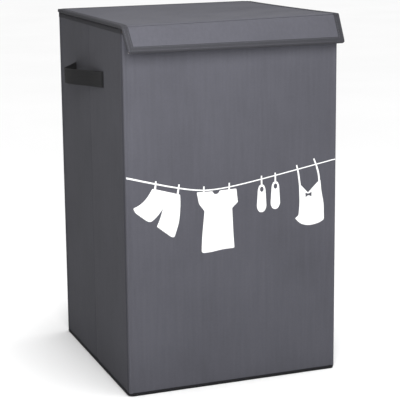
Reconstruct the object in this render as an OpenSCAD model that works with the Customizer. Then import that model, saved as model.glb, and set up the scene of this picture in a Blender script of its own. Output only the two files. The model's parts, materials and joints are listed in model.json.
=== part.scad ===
// Square collapsible laundry hamper: four board-stiffened cloth walls, a loose base board,
// a hinged lid with a front flap, two webbing handles and a printed front panel.
// Millimetres, +Z up, front is -Y. Origin: centre of the resting face, on the floor.

/* [Body] */
// outer width across the side walls
body_w = 350; // [300:5:450]
// outer depth from front wall to back wall
body_d = 350; // [300:5:450]
// height of the top rim
rim_h = 567.5; // [400:0.5:700]
// height of the walls' lower edge, just above the bottom binding
wall_z0 = 5; // [4.8:0.1:8]
// width of the sewn strip at each corner
seam_w = 6; // [4:0.5:12]
// free play between a side wall and its corner strip
seam_play = 0.2; // [0.1:0.1:1]
// width of the fold line down the middle of each side wall
crease_w = 1; // [0.6:0.1:3]

/* [Layers] */
// outer cover cloth
cover_t = 0.8; // [0.4:0.1:1.5]
// stiffening board in the walls
board_t = 3; // [1.5:0.1:5]
// inner lining cloth
lining_t = 0.7; // [0.3:0.1:1.5]
// height of the binding tape round the top rim
rim_tape_h = 8; // [5:0.5:20]

/* [Bottom] */
// how far the bottom binding stands out past the walls
bottom_out = 1; // [0:0.5:4]
// corner radius of the bottom binding
bottom_r = 8; // [2:0.5:20]
// width of the bottom binding
bottom_tape_w = 6; // [4:0.5:15]
// height of the bottom binding
bottom_tape_h = 4.6; // [3:0.1:4.8]
// bottom cloth thickness
bottom_cloth_t = 0.8; // [0.5:0.1:2]
// gap between the base board's sides and the walls' inner faces
base_gap = 2.5; // [1.5:0.1:6]
// underside of the base board
base_z0 = 1; // [0.9:0.1:2]
// top of the covered base board
base_z1 = 4.4; // [3:0.1:4.7]

/* [Lid] */
// how far the lid stands out past each side wall
lid_out = 3; // [0:0.5:10]
// how far the lid's front fold stands out past the front wall
fold_out = 5; // [4.5:0.5:15]
// top of the lid
lid_top = 573; // [405:0.5:710]
// lid thickness
lid_t = 5.2; // [3:0.1:5.4]
// width of the binding on the lid's edges
lid_tape_w = 8; // [4:0.5:15]

/* [Flap] */
// flap length from the fold to its free edge
flap_len = 48; // [30:1:120]
// flap thickness
flap_t = 4; // [2:0.1:4.5]
// angle of the flap below the lid's plane
flap_drop = 56; // [0:1:90]
// width of the binding on the flap's edges
flap_tape_w = 10; // [5:0.5:20]

/* [Handles] */
// width of the handle webbing
strap_w = 25; // [15:1:40]
// thickness of the handle webbing
strap_t = 1.6; // [1:0.1:3]
// middle height of the handles
strap_z = 481; // [300:1:550]
// distance from the wall's fold line to each handle slit
strap_reach = 76; // [50:1:120]
// how far the handle bows away from the wall
strap_bow = 24; // [10:1:50]
// length of the tail sewn down inside the wall
tail_len = 22; // [10:1:40]

/* [Print] */
// thickness of the printed layer
print_t = 0.3; // [0.1:0.1:0.6]
// lowest height of the printed clothes line
line_low = 315; // [200:1:450]
// where along the front panel the printed line is lowest
line_low_x = -38; // [-100:1:100]

/* [Hidden] */
$fn = 96;
e = 1;
wall_t = cover_t + board_t + lining_t;
side_end = body_d / 2 - wall_t - seam_w - seam_play;
tape_z0 = rim_h - rim_tape_h;
fold_y = -body_d / 2 - fold_out;
lid_x = body_w / 2 + lid_out;
lid_z0 = lid_top - lid_t;
flap_start = 0.8;
lid_end = fold_y + flap_t + 0.3;
ring_in = body_w / 2 + bottom_out - bottom_tape_w;
ring_in_d = body_d / 2 + bottom_out - bottom_tape_w;
base_x = body_w / 2 - wall_t - base_gap;
base_y0 = -(body_d / 2 - wall_t - base_gap);
base_y1 = ring_in_d - 0.2;
strap_r = (strap_reach * strap_reach + strap_bow * strap_bow) / (2 * strap_bow);

cloth = [0.40, 0.40, 0.43];
cloth_light = [0.47, 0.47, 0.50];
tape = [0.20, 0.20, 0.22];
tape_dark = [0.12, 0.12, 0.13];
inner_cloth = [0.62, 0.62, 0.64];
cardboard = [0.72, 0.60, 0.45];
ink = [0.96, 0.96, 0.96];

// ---- helpers ----

// box between two corners
module span(a, b) translate(a) cube(b - a);

// a wall's own frame: X along the wall, Y from its outer face inwards
module on_front() translate([0, -body_d / 2, 0]) children();
module on_back() translate([0, body_d / 2, 0]) mirror([0, 1, 0]) children();
module on_left() translate([-body_w / 2, 0, 0]) mirror([1, -1, 0]) children();
module on_right() mirror([1, 0, 0]) on_left() children();

// the flap's frame: Y = 0 at the fold, -Y towards the free edge, Z = 0 on its outer face
module on_flap() translate([0, fold_y, lid_top]) rotate([flap_drop, 0, 0]) children();

// ---- wall layers, from u0 to u1 along the wall ----

// outer cloth, turned in over both ends of the board
module wall_cover(u0, u1) {
  span([u0, 0, wall_z0], [u1, cover_t, tape_z0]);
  span([u0, 0, wall_z0], [u0 + cover_t, cover_t + board_t, tape_z0]);
  span([u1 - cover_t, 0, wall_z0], [u1, cover_t + board_t, tape_z0]);
}

// stiffening board
module wall_board(u0, u1)
  span([u0 + cover_t, cover_t, wall_z0], [u1 - cover_t, cover_t + board_t, rim_h - cover_t]);

// inner lining
module wall_lining(u0, u1)
  span([u0, cover_t + board_t, wall_z0], [u1, wall_t, tape_z0]);

// binding tape folded over the wall's top edge
module wall_rim(u0, u1) difference() {
  span([u0, 0, tape_z0], [u1, wall_t, rim_h]);
  span([u0 + cover_t, cover_t, tape_z0 - e], [u1 - cover_t, cover_t + board_t, rim_h - cover_t]);
}

// the slit that one end of a handle passes through; side is -1 front, 1 rear
module handle_slit(side)
  span([side * (strap_reach - 0.8) - 1.5, -e, strap_z - strap_w / 2 - 1],
       [side * (strap_reach - 0.8) + 1.5, wall_t + e, strap_z + strap_w / 2 + 1]);

// corner strip between a side wall and the front or back wall
module corner_strip(u0, u1) span([u0, 0, wall_z0], [u1, wall_t, rim_h]);

// the cloth fold line between the two halves of a side wall
module crease_strip()
  span([-crease_w / 2, 0, wall_z0], [crease_w / 2, cover_t, rim_h]);

// webbing handle: bowed outside, its ends through the slits and sewn down inside
module handle_band() {
  intersection() {
    translate([0, strap_r - strap_bow, strap_z - strap_w / 2]) difference() {
      cylinder(r = strap_r, h = strap_w);
      translate([0, 0, -e]) cylinder(r = strap_r - strap_t, h = strap_w + 2 * e);
    }
    span([-strap_reach - 5, -strap_bow - e, strap_z - strap_w],
         [strap_reach + 5, -0.2, strap_z + strap_w]);
  }
  for (side = [-1, 1]) scale([side, 1, 1]) {
    span([strap_reach - strap_t, -1.2, strap_z - strap_w / 2],
         [strap_reach, wall_t + strap_t, strap_z + strap_w / 2]);
    span([strap_reach - strap_t, wall_t, strap_z - strap_w / 2],
         [strap_reach + tail_len, wall_t + strap_t, strap_z + strap_w / 2]);
  }
}

// ---- lid and flap plates: bound on three edges, open at the fold; y0 bound end, y1 fold end ----

// binding tape round the left, right and bound end
module plate_binding(y0, y1, z0, z1, w) {
  s = sign(y1 - y0);
  difference() {
    span([-lid_x, min(y0, y1), z0], [lid_x, max(y0, y1), z1]);
    span([-lid_x + cover_t, min(y0 + s * cover_t, y1 + s * e), z0 + lining_t],
         [lid_x - cover_t, max(y0 + s * cover_t, y1 + s * e), z1 - cover_t]);
    span([-lid_x + w, min(y0 + s * w, y1 + s * e), z0 - e],
         [lid_x - w, max(y0 + s * w, y1 + s * e), z1 + e]);
  }
}

// cloth panel inside the binding, between heights z0 and z1
module plate_cloth(y0, y1, z0, z1, w) {
  s = sign(y1 - y0);
  span([-lid_x + w, min(y0 + s * w, y1), z0], [lid_x - w, max(y0 + s * w, y1), z1]);
}

// stiffening board inside the plate
module plate_board(y0, y1, z0, z1) {
  s = sign(y1 - y0);
  span([-lid_x + cover_t, min(y0 + s * cover_t, y1), z0 + lining_t],
       [lid_x - cover_t, max(y0 + s * cover_t, y1), z1 - cover_t]);
}

// ---- bottom ----

// square with round corners, centred on the origin
module rounded_plate(w, d, r, h) {
  span([-w / 2 + r, -d / 2, 0], [w / 2 - r, d / 2, h]);
  span([-w / 2, -d / 2 + r, 0], [w / 2, d / 2 - r, h]);
  for (x = [-1, 1], y = [-1, 1]) translate([x * (w / 2 - r), y * (d / 2 - r), 0]) cylinder(r = r, h = h);
}

// ---- printed motif, drawn flat: X along the front panel, Y upwards ----

// height of the sagging clothes line at x
function line_y(x) =
  line_low + (x < line_low_x ? 0.30 : 0.178) * (sqrt(pow(x - line_low_x, 2) + 1600) - 40);

// half the line's thickness, heavier at its left end
function line_h(x) = x < line_low_x ? 1.1 + 0.5 * (line_low_x - x) / 134 : 1.1;

// a layer of ink on the front panel
module printed() on_front() rotate([90, 0, 0]) linear_extrude(height = print_t) children();

// short bar between two points
module bar(a, b, w) {
  d = b - a;
  translate(a) rotate(atan2(d[1], d[0])) translate([0, -w / 2]) square([norm(d), w]);
}

module line_outline() {
  steps = [for (i = [0:24]) -body_w / 2 + 3 + i * (body_w - 6) / 24];
  polygon(concat([for (x = steps) [x, line_y(x) + line_h(x)]],
                 [for (i = [24:-1:0]) [steps[i], line_y(steps[i]) - line_h(steps[i])]]));
}

module shorts_outline() {
  translate([-108, 318]) rotate(-16)
    polygon([[-23, 0], [23, 0], [28, -30], [30, -62], [27, -66], [0, -55], [2, -38], [0, -27],
             [-7, -42], [-16, -51], [-20, -50], [-42, -37], [-43, -34], [-33, -26], [-27, -14]]);
  shorts_pegs();
}

module shorts_pegs() {
  bar([-125, 321], [-124, 336], 2.6);
  bar([-90, 313], [-87, 328], 2.6);
}

module shirt_outline() {
  difference() {
    translate([-26, 313])
      polygon([[-33, 0], [32, 0], [34, -18], [25, -27], [26, -50], [28, -93], [10, -94],
               [-17, -97], [-25, -97], [-27, -93], [-23, -28], [-31, -18]]);
    translate([-28, 314]) circle(r = 5);
  }
  shirt_pegs();
}

module shirt_pegs() {
  bar([-48, 311], [-47, 322], 2.4);
  bar([-6, 311], [-6, 323], 2.4);
}

// where the two slippers' loops start
slippers = [[48.5, 329], [71.5, 333]];

module slipper_loop() bar([0, 0], [0, -16], 2.6);

// one slipper hanging from a loop; origin at the top of the loop
module slipper_outline() difference() {
  union() {
    slipper_loop();
    translate([0, -20]) circle(r = 6.4);
    translate([0, -49]) circle(r = 8);
    polygon([[-6.4, -20], [6.4, -20], [8, -49], [-8, -49]]);
  }
  translate([0, -20.5]) circle(r = 3.4);
}

module camisole_outline() {
  difference() {
    polygon([[112, 311], [115, 309], [127, 297], [146, 314], [149, 312], [154, 285], [156, 264],
             [156, 250], [149, 246], [140, 244], [130, 243], [119, 246], [106, 256], [111, 261],
             [113, 268], [113, 290]]);
    polygon([[123, 296], [128, 293.6], [133, 296.5], [133, 290.5], [128, 292.4], [124, 290]]);
  }
  camisole_straps();
}

module camisole_straps() {
  bar([113.6, 309], [108.5, 341], 2.8);
  bar([147.4, 312], [145.6, 329], 2.8);
  bar([145.8, 328], [138, 349], 2.8);
}

// ---- back wall and bottom ----

module back_board() color(cardboard) on_back() wall_board(-body_w / 2, body_w / 2);
module back_cover() color(cloth) on_back() wall_cover(-body_w / 2, body_w / 2);
module back_lining() color(inner_cloth) on_back() wall_lining(-body_w / 2, body_w / 2);
module back_rim_binding() color(tape) on_back() wall_rim(-body_w / 2, body_w / 2);

module rear_left_corner_seam()
  color(cloth) on_left() corner_strip(side_end + seam_play, side_end + seam_play + seam_w);
module rear_right_corner_seam()
  color(cloth) on_right() corner_strip(side_end + seam_play, side_end + seam_play + seam_w);

module bottom_cloth() color(cloth)
  span([-ring_in, -ring_in_d, 0], [ring_in, ring_in_d, bottom_cloth_t]);

module bottom_binding() color(tape_dark) difference() {
  rounded_plate(body_w + 2 * bottom_out, body_d + 2 * bottom_out, bottom_r, bottom_tape_h);
  span([-ring_in, -ring_in_d, -e], [ring_in, ring_in_d, bottom_tape_h + e]);
}

// ---- left side wall, two halves ----

module left_rear_board() color(cardboard) on_left() difference() {
  wall_board(crease_w / 2, side_end);
  handle_slit(1);
}
module left_rear_cover() color(cloth) on_left() difference() {
  wall_cover(crease_w / 2, side_end);
  handle_slit(1);
}
module left_rear_lining() color(inner_cloth) on_left() difference() {
  wall_lining(crease_w / 2, side_end);
  handle_slit(1);
}
module left_rear_rim_binding() color(tape) on_left() wall_rim(crease_w / 2, side_end);

module left_front_board() color(cardboard) on_left() difference() {
  wall_board(-side_end, -crease_w / 2);
  handle_slit(-1);
}
module left_front_cover() color(cloth) on_left() difference() {
  wall_cover(-side_end, -crease_w / 2);
  handle_slit(-1);
}
module left_front_lining() color(inner_cloth) on_left() difference() {
  wall_lining(-side_end, -crease_w / 2);
  handle_slit(-1);
}
module left_front_rim_binding() color(tape) on_left() wall_rim(-side_end, -crease_w / 2);

module left_crease() color(cloth) on_left() crease_strip();
module left_handle() color(tape_dark) on_left() handle_band();

// ---- right side wall, the mirror image ----

module right_rear_board() mirror([1, 0, 0]) left_rear_board();
module right_rear_cover() mirror([1, 0, 0]) left_rear_cover();
module right_rear_lining() mirror([1, 0, 0]) left_rear_lining();
module right_rear_rim_binding() mirror([1, 0, 0]) left_rear_rim_binding();
module right_front_board() mirror([1, 0, 0]) left_front_board();
module right_front_cover() mirror([1, 0, 0]) left_front_cover();
module right_front_lining() mirror([1, 0, 0]) left_front_lining();
module right_front_rim_binding() mirror([1, 0, 0]) left_front_rim_binding();
module right_crease() mirror([1, 0, 0]) left_crease();
module right_handle() mirror([1, 0, 0]) left_handle();

// ---- front wall and its print ----

module front_board() color(cardboard) on_front() wall_board(-body_w / 2, body_w / 2);
module front_cover() color(cloth_light) on_front() wall_cover(-body_w / 2, body_w / 2);
module front_lining() color(inner_cloth) on_front() wall_lining(-body_w / 2, body_w / 2);
module front_rim_binding() color(tape) on_front() wall_rim(-body_w / 2, body_w / 2);

module front_left_corner_seam()
  color(cloth) on_left() corner_strip(-side_end - seam_play - seam_w, -side_end - seam_play);
module front_right_corner_seam()
  color(cloth) on_right() corner_strip(-side_end - seam_play - seam_w, -side_end - seam_play);

// the printed line, broken where the pegs, loops and straps of the hung pieces cross it
module print_line() color(ink) printed() difference() {
  line_outline();
  shorts_pegs();
  shirt_pegs();
  for (s = slippers) translate(s) slipper_loop();
  camisole_straps();
}

module print_shorts() color(ink) printed() shorts_outline();
module print_shirt() color(ink) printed() shirt_outline();
module print_slippers() color(ink) printed() for (s = slippers) translate(s) slipper_outline();
module print_camisole() color(ink) printed() camisole_outline();

// ---- loose base board, hinged along its rear edge ----

module base_board() color(cardboard)
  span([-base_x + lining_t, base_y0 + lining_t, base_z0],
       [base_x - lining_t, base_y1 - lining_t, base_z1 - lining_t]);
module base_cover() color(inner_cloth) difference() {
  span([-base_x, base_y0, base_z0], [base_x, base_y1, base_z1]);
  span([-base_x + lining_t, base_y0 + lining_t, base_z0 - e],
       [base_x - lining_t, base_y1 - lining_t, base_z1 - lining_t]);
}

// ---- lid ----

module lid_board() color(cardboard) plate_board(body_d / 2, lid_end, lid_z0, lid_top);
module lid_cover() color(cloth_light)
  plate_cloth(body_d / 2, lid_end, lid_top - cover_t, lid_top, lid_tape_w);
module lid_lining() color(inner_cloth)
  plate_cloth(body_d / 2, lid_end, lid_z0, lid_z0 + lining_t, lid_tape_w);
module lid_binding() color(tape) plate_binding(body_d / 2, lid_end, lid_z0, lid_top, lid_tape_w);
module lid_hinge_strip() color(tape)
  span([-body_w / 2 + 6, body_d / 2, tape_z0], [body_w / 2 - 6, body_d / 2 + 0.6, lid_top - 0.5]);

// ---- flap ----

module flap_board() color(cardboard) on_flap() plate_board(-flap_len, -flap_start, -flap_t, 0);
module flap_cover() color(cloth_light) on_flap()
  plate_cloth(-flap_len, -flap_start, -cover_t, 0, flap_tape_w);
module flap_lining() color(inner_cloth) on_flap()
  plate_cloth(-flap_len, -flap_start, -flap_t, -flap_t + lining_t, flap_tape_w);
module flap_binding() color(tape) on_flap()
  plate_binding(-flap_len, -flap_start, -flap_t, 0, flap_tape_w);
module flap_fold_strip() color(cloth_light)
  span([-lid_x, fold_y + 0.6, lid_top - cover_t], [lid_x, lid_end, lid_top]);

back_board();
back_cover();
back_lining();
back_rim_binding();
rear_left_corner_seam();
rear_right_corner_seam();
bottom_cloth();
bottom_binding();
left_rear_board();
left_rear_cover();
left_rear_lining();
left_rear_rim_binding();
left_front_board();
left_front_cover();
left_front_lining();
left_front_rim_binding();
left_crease();
left_handle();
right_rear_board();
right_rear_cover();
right_rear_lining();
right_rear_rim_binding();
right_front_board();
right_front_cover();
right_front_lining();
right_front_rim_binding();
right_crease();
right_handle();
front_board();
front_cover();
front_lining();
front_rim_binding();
front_left_corner_seam();
front_right_corner_seam();
print_line();
print_shorts();
print_shirt();
print_slippers();
print_camisole();
base_board();
base_cover();
lid_board();
lid_cover();
lid_lining();
lid_binding();
lid_hinge_strip();
flap_board();
flap_cover();
flap_lining();
flap_binding();
flap_fold_strip();
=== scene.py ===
import json
import math

import bmesh
import bpy
import numpy as np
from mathutils import Matrix, Vector, geometry


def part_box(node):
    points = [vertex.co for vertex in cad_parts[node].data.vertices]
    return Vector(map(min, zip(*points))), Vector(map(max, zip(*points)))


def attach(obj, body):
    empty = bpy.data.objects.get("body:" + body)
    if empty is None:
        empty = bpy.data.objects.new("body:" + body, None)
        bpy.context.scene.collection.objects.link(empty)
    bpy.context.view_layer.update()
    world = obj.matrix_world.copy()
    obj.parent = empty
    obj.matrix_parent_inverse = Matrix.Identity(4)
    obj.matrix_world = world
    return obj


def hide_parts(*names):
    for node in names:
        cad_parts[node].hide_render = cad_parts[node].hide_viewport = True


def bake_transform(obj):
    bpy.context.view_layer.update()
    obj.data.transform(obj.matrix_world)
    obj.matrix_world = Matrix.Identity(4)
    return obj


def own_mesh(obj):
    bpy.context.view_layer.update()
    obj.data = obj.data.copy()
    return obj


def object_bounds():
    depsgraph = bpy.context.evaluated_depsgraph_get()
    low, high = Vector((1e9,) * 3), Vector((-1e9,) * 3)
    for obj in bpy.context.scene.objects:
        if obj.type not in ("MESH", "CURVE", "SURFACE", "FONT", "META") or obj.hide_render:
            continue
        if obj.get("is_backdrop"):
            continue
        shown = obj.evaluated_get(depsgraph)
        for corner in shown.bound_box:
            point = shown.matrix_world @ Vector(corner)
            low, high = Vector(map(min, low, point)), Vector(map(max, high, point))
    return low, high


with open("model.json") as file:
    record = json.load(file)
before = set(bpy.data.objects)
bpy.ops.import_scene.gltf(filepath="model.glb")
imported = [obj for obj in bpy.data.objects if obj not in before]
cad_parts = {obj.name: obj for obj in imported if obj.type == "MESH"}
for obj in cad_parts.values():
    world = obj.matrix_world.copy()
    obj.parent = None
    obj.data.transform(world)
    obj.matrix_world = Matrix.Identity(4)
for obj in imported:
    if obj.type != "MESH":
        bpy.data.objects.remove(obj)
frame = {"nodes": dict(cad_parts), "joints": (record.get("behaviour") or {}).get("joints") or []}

scene = bpy.context.scene
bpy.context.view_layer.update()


def mm_box(node):
    """A CAD node's lowest and highest corner, in millimetres."""
    lo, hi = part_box(node)
    return np.array(lo) * 1000, np.array(hi) * 1000


# ---- sizes, in millimetres, from the CAD frame ----
cover_lo, cover_hi = mm_box("front_cover")
rim_lo, rim_hi = mm_box("front_rim_binding")
lid_lo, lid_hi = mm_box("lid_binding")
bottom_lo, bottom_hi = mm_box("bottom_binding")
base_lo, base_hi = mm_box("base_cover")
strap_lo, strap_hi = mm_box("left_handle")
JOINTS = {j["name"]: j for j in frame["joints"]}
W = cover_hi[0]                      # half the width
D = -cover_lo[1]                     # half the depth
WALL_Z0 = cover_lo[2]
TAPE_Z0 = rim_lo[2]
RIM = rim_hi[2]
WALL_T = 4.5
COVER_T = 0.8
LINING_T = 0.62
STITCH_PITCH = 4.2
RIM_PROUD, BACK_RIM_PROUD = 0.45, 0.12   # thin at the back, where the lid hangs
LID_X = lid_hi[0]
LID_TOP = lid_hi[2]
LID_T = lid_hi[2] - lid_lo[2]
LID_BACK = lid_hi[1] - 0.6
FOLD_Y = JOINTS["flap_fold"]["pos_m"][1] * 1000
FLAP_LEN = 48.0
FLAP_T = 4.0
FLAP_DROP = math.radians(56)
STRAP_Z = (strap_lo[2] + strap_hi[2]) / 2
SLIT = 75.2                          # a handle slit's distance from the wall's fold line


# ---- materials ----

def material(name):
    m = bpy.data.materials.new(name)
    m.use_nodes = True
    t = m.node_tree
    return m, t, t.nodes["Principled BSDF"]


def node(t, kind, **sockets):
    n = t.nodes.new(kind)
    for key, value in sockets.items():
        if key in n.inputs:
            n.inputs[key].default_value = value
        else:
            setattr(n, key, value)
    return n


def noise(t, vector, scale, detail=3.0):
    n = node(t, "ShaderNodeTexNoise", Scale=scale, Detail=detail)
    t.links.new(vector, n.inputs["Vector"])
    return n.outputs["Fac"]


def bands(t, vector, direction, scale, distortion=0.0):
    n = node(t, "ShaderNodeTexWave", Scale=scale, Distortion=distortion)
    n.bands_direction = direction
    t.links.new(vector, n.inputs["Vector"])
    return n.outputs["Fac"]


def math_node(t, operation, a, b):
    n = t.nodes.new("ShaderNodeMath")
    n.operation = operation
    for i, v in enumerate((a, b)):
        if isinstance(v, (int, float)):
            n.inputs[i].default_value = v
        else:
            t.links.new(v, n.inputs[i])
    return n.outputs[0]


def ramp(t, factor, dark, light, lo=0.3, hi=0.7):
    n = t.nodes.new("ShaderNodeValToRGB")
    n.color_ramp.elements[0].position, n.color_ramp.elements[1].position = lo, hi
    n.color_ramp.elements[0].color = (*dark, 1)
    n.color_ramp.elements[1].color = (*light, 1)
    t.links.new(factor, n.inputs["Fac"])
    return n.outputs["Color"]


def bump(t, bsdf, layers):
    """Chains bumps; layers is (height socket, strength, distance in metres)."""
    last = None
    for height, strength, distance in layers:
        n = node(t, "ShaderNodeBump", Strength=strength, Distance=distance)
        t.links.new(height, n.inputs["Height"])
        if last:
            t.links.new(last, n.inputs["Normal"])
        last = n.outputs["Normal"]
    t.links.new(last, bsdf.inputs["Normal"])


def shade(colour, k):
    return tuple(c * k for c in colour)


def woven(name, colour, pitch=0.0009, rough=0.85, sheen=0.04, mottle=0.10, crease=0.35):
    """Plain woven cloth: threads both ways, soft mottling and slight creases."""
    m, t, bsdf = material(name)
    at = t.nodes.new("ShaderNodeTexCoord").outputs["Object"]
    k = math.pi / (10 * pitch)
    threads = math_node(t, "MULTIPLY", math_node(t, "MAXIMUM", bands(t, at, "X", k), bands(t, at, "Y", k)),
                        bands(t, at, "Z", k))
    stretch = node(t, "ShaderNodeMapping")
    stretch.inputs["Scale"].default_value = (1.0, 1.0, 0.06)
    t.links.new(at, stretch.inputs["Vector"])
    slubs = noise(t, stretch.outputs["Vector"], 210.0, 3.0)
    mix = math_node(t, "ADD", math_node(t, "MULTIPLY", noise(t, at, 9.0, 4.0), 0.5),
                    math_node(t, "ADD", math_node(t, "MULTIPLY", noise(t, at, 420.0, 2.0), 0.2),
                              math_node(t, "MULTIPLY", slubs, 0.3)))
    t.links.new(ramp(t, mix, shade(colour, 1 - mottle), shade(colour, 1 + mottle), 0.35, 0.65),
                bsdf.inputs["Base Color"])
    bsdf.inputs["Roughness"].default_value = rough
    bsdf.inputs["Sheen Weight"].default_value = sheen
    bsdf.inputs["Sheen Roughness"].default_value = 0.5
    bsdf.inputs["Specular IOR Level"].default_value = 0.1
    bump(t, bsdf, [(noise(t, at, 55.0, 3.0), crease, 0.0012), (threads, 0.5, 0.00025)])
    return m


def ribbed(name, colour, pitch=0.0016, rough=0.85, depth=0.0004, sheen=0.03):
    """Ribbed tape or webbing: slanting ribs, with a painted highlight that makes their crests lighter."""
    m, t, bsdf = material(name)
    at = t.nodes.new("ShaderNodeTexCoord").outputs["Object"]
    k = math.pi / (5 * pitch)
    ribs = bands(t, at, "DIAGONAL", k)
    fine = noise(t, at, 900.0, 2.0)
    # painted highlight: the colour is lighter where the ribs' bump is high; the noise adds random tone
    tone = math_node(t, "ADD", math_node(t, "MULTIPLY", ribs, 0.7),
                     math_node(t, "ADD", math_node(t, "MULTIPLY", fine, 0.15),
                               math_node(t, "MULTIPLY", noise(t, at, 25.0, 2.0), 0.15)))
    t.links.new(ramp(t, tone, shade(colour, 0.6), shade(colour, 1.4), 0.2, 0.8), bsdf.inputs["Base Color"])
    bsdf.inputs["Roughness"].default_value = rough
    bsdf.inputs["Sheen Weight"].default_value = sheen
    bsdf.inputs["Specular IOR Level"].default_value = 0.1
    bump(t, bsdf, [(ribs, 0.7, depth), (fine, 0.3, 0.0002)])
    return m


def felted(name, colour):
    """Nonwoven lining: pressed dimples over matted fibres."""
    m, t, bsdf = material(name)
    at = t.nodes.new("ShaderNodeTexCoord").outputs["Object"]
    cells = node(t, "ShaderNodeTexVoronoi", Scale=420.0)
    t.links.new(at, cells.inputs["Vector"])
    fibres = noise(t, at, 260.0, 5.0)
    t.links.new(ramp(t, math_node(t, "ADD", math_node(t, "MULTIPLY", fibres, 0.5),
                                  math_node(t, "MULTIPLY", noise(t, at, 12.0, 3.0), 0.5)),
                     shade(colour, 0.86), shade(colour, 1.12), 0.35, 0.65), bsdf.inputs["Base Color"])
    bsdf.inputs["Roughness"].default_value = 0.92
    bsdf.inputs["Sheen Weight"].default_value = 0.15
    bsdf.inputs["Specular IOR Level"].default_value = 0.2
    bump(t, bsdf, [(noise(t, at, 40.0, 2.0), 0.3, 0.001), (cells.outputs["Distance"], 0.5, 0.0003)])
    return m


def paperboard(name, colour):
    """Brown board with flecks and long fibres."""
    m, t, bsdf = material(name)
    at = t.nodes.new("ShaderNodeTexCoord").outputs["Object"]
    fibres = noise(t, at, 180.0, 6.0)
    t.links.new(ramp(t, fibres, shade(colour, 0.8), shade(colour, 1.15)), bsdf.inputs["Base Color"])
    bsdf.inputs["Roughness"].default_value = 0.9
    bump(t, bsdf, [(fibres, 0.3, 0.0003)])
    return m


def inked(name, colour):
    """Screen print: matt white with the cloth's threads showing faintly through."""
    m, t, bsdf = material(name)
    at = t.nodes.new("ShaderNodeTexCoord").outputs["Object"]
    k = math.pi / (10 * 0.0009)
    threads = math_node(t, "MULTIPLY", bands(t, at, "X", k), bands(t, at, "Z", k))
    t.links.new(ramp(t, noise(t, at, 300.0, 3.0), shade(colour, 0.97), colour), bsdf.inputs["Base Color"])
    bsdf.inputs["Roughness"].default_value = 0.6
    bsdf.inputs["Specular IOR Level"].default_value = 0.3
    bump(t, bsdf, [(threads, 0.25, 0.00015)])
    return m


GREY = (0.088, 0.088, 0.104)
front_cloth = woven("front_cloth", GREY)
# painted shade: the side walls' cloth is the front cloth darkened to 0.64, standing in for the dimmer light on
# the sides; the back, corner seams and bottom sheet use it too
side_cloth_painted_shade = woven("side_cloth_painted_shade", shade(GREY, 0.64))
# painted shade: the lid and flap cloth is the front cloth darkened to 0.84, toning down the light the top
# receives
lid_cloth_painted_shade = woven("lid_cloth_painted_shade", shade(GREY, 0.84))
flap_tape = ribbed("flap_tape", (0.040, 0.040, 0.046), pitch=0.0034, depth=0.0006)
rim_tape = ribbed("rim_tape", (0.028, 0.028, 0.033))
bottom_tape = ribbed("bottom_tape", (0.016, 0.016, 0.018))
webbing = ribbed("webbing", (0.013, 0.013, 0.014), pitch=0.0019, depth=0.0003)
lining_cloth = felted("lining_cloth", (0.30, 0.30, 0.31))
board_stuff = paperboard("board_stuff", (0.42, 0.31, 0.19))
print_ink = inked("print_ink", (0.93, 0.93, 0.93))
thread = ribbed("thread", (0.085, 0.085, 0.098), pitch=0.0008, depth=0.0001)
thread_dark = ribbed("thread_dark", (0.04, 0.04, 0.046), pitch=0.0008, depth=0.0001)


# ---- mesh helpers ----

def mesh_object(name, points, faces, mat, sharp=45):
    """A closed mesh from points in millimetres."""
    me = bpy.data.meshes.new(name)
    me.from_pydata((np.asarray(points, float) / 1000).tolist(), [], [list(map(int, f)) for f in faces])
    bm = bmesh.new()
    bm.from_mesh(me)
    bmesh.ops.remove_doubles(bm, verts=bm.verts, dist=1e-7)
    bmesh.ops.recalc_face_normals(bm, faces=bm.faces)
    bm.to_mesh(me)
    bm.free()
    me.polygons.foreach_set("use_smooth", [True] * len(me.polygons))
    me.set_sharp_from_angle(angle=math.radians(sharp))
    me.materials.append(mat)
    o = bpy.data.objects.new(name, me)
    scene.collection.objects.link(o)
    return o


def grid_shell(outer, inner, keep=None):
    """Points and faces of the closed sheet between two (n, m, 3) grids. keep marks the cells that are cloth."""
    n, m = outer.shape[:2]
    points = np.concatenate([outer.reshape(-1, 3), inner.reshape(-1, 3)])
    if keep is None:
        keep = np.ones((n - 1, m - 1), bool)
    a = lambda i, j: i * m + j
    b = lambda i, j: n * m + i * m + j
    faces = []
    for i in range(n - 1):
        for j in range(m - 1):
            if not keep[i, j]:
                continue
            faces.append((a(i, j), a(i + 1, j), a(i + 1, j + 1), a(i, j + 1)))
            faces.append((b(i, j), b(i, j + 1), b(i + 1, j + 1), b(i + 1, j)))
            for (p, q, ni, nj) in (((i, j), (i, j + 1), i - 1, j), ((i + 1, j + 1), (i + 1, j), i + 1, j),
                                   ((i + 1, j), (i, j), i, j - 1), ((i, j + 1), (i + 1, j + 1), i, j + 1)):
                if not (0 <= ni < n - 1 and 0 <= nj < m - 1 and keep[ni, nj]):
                    faces.append((a(*p), a(*q), b(*q), b(*p)))
    used = np.unique(np.array([v for f in faces for v in f]))
    renumber = {v: k for k, v in enumerate(used)}
    return points[used], [[renumber[v] for v in f] for f in faces]


def tube_shell(rings, closed=False):
    """Points and faces of a section swept through rings of (k, 3) points, with end caps unless closed."""
    n, k = len(rings), len(rings[0])
    faces = []
    for i in range(n if closed else n - 1):
        j = (i + 1) % n
        for p in range(k):
            q = (p + 1) % k
            faces.append((i * k + p, i * k + q, j * k + q, j * k + p))
    if not closed:
        faces.append(list(range(k)))
        faces.append([(n - 1) * k + p for p in range(k)][::-1])
    return np.concatenate(rings), faces


def joined(shells):
    """Several (points, faces) as one."""
    points, faces, start = [], [], 0
    for p, f in shells:
        points.append(np.asarray(p, float))
        faces += [[v + start for v in face] for face in f]
        start += len(p)
    return np.concatenate(points), faces


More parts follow.
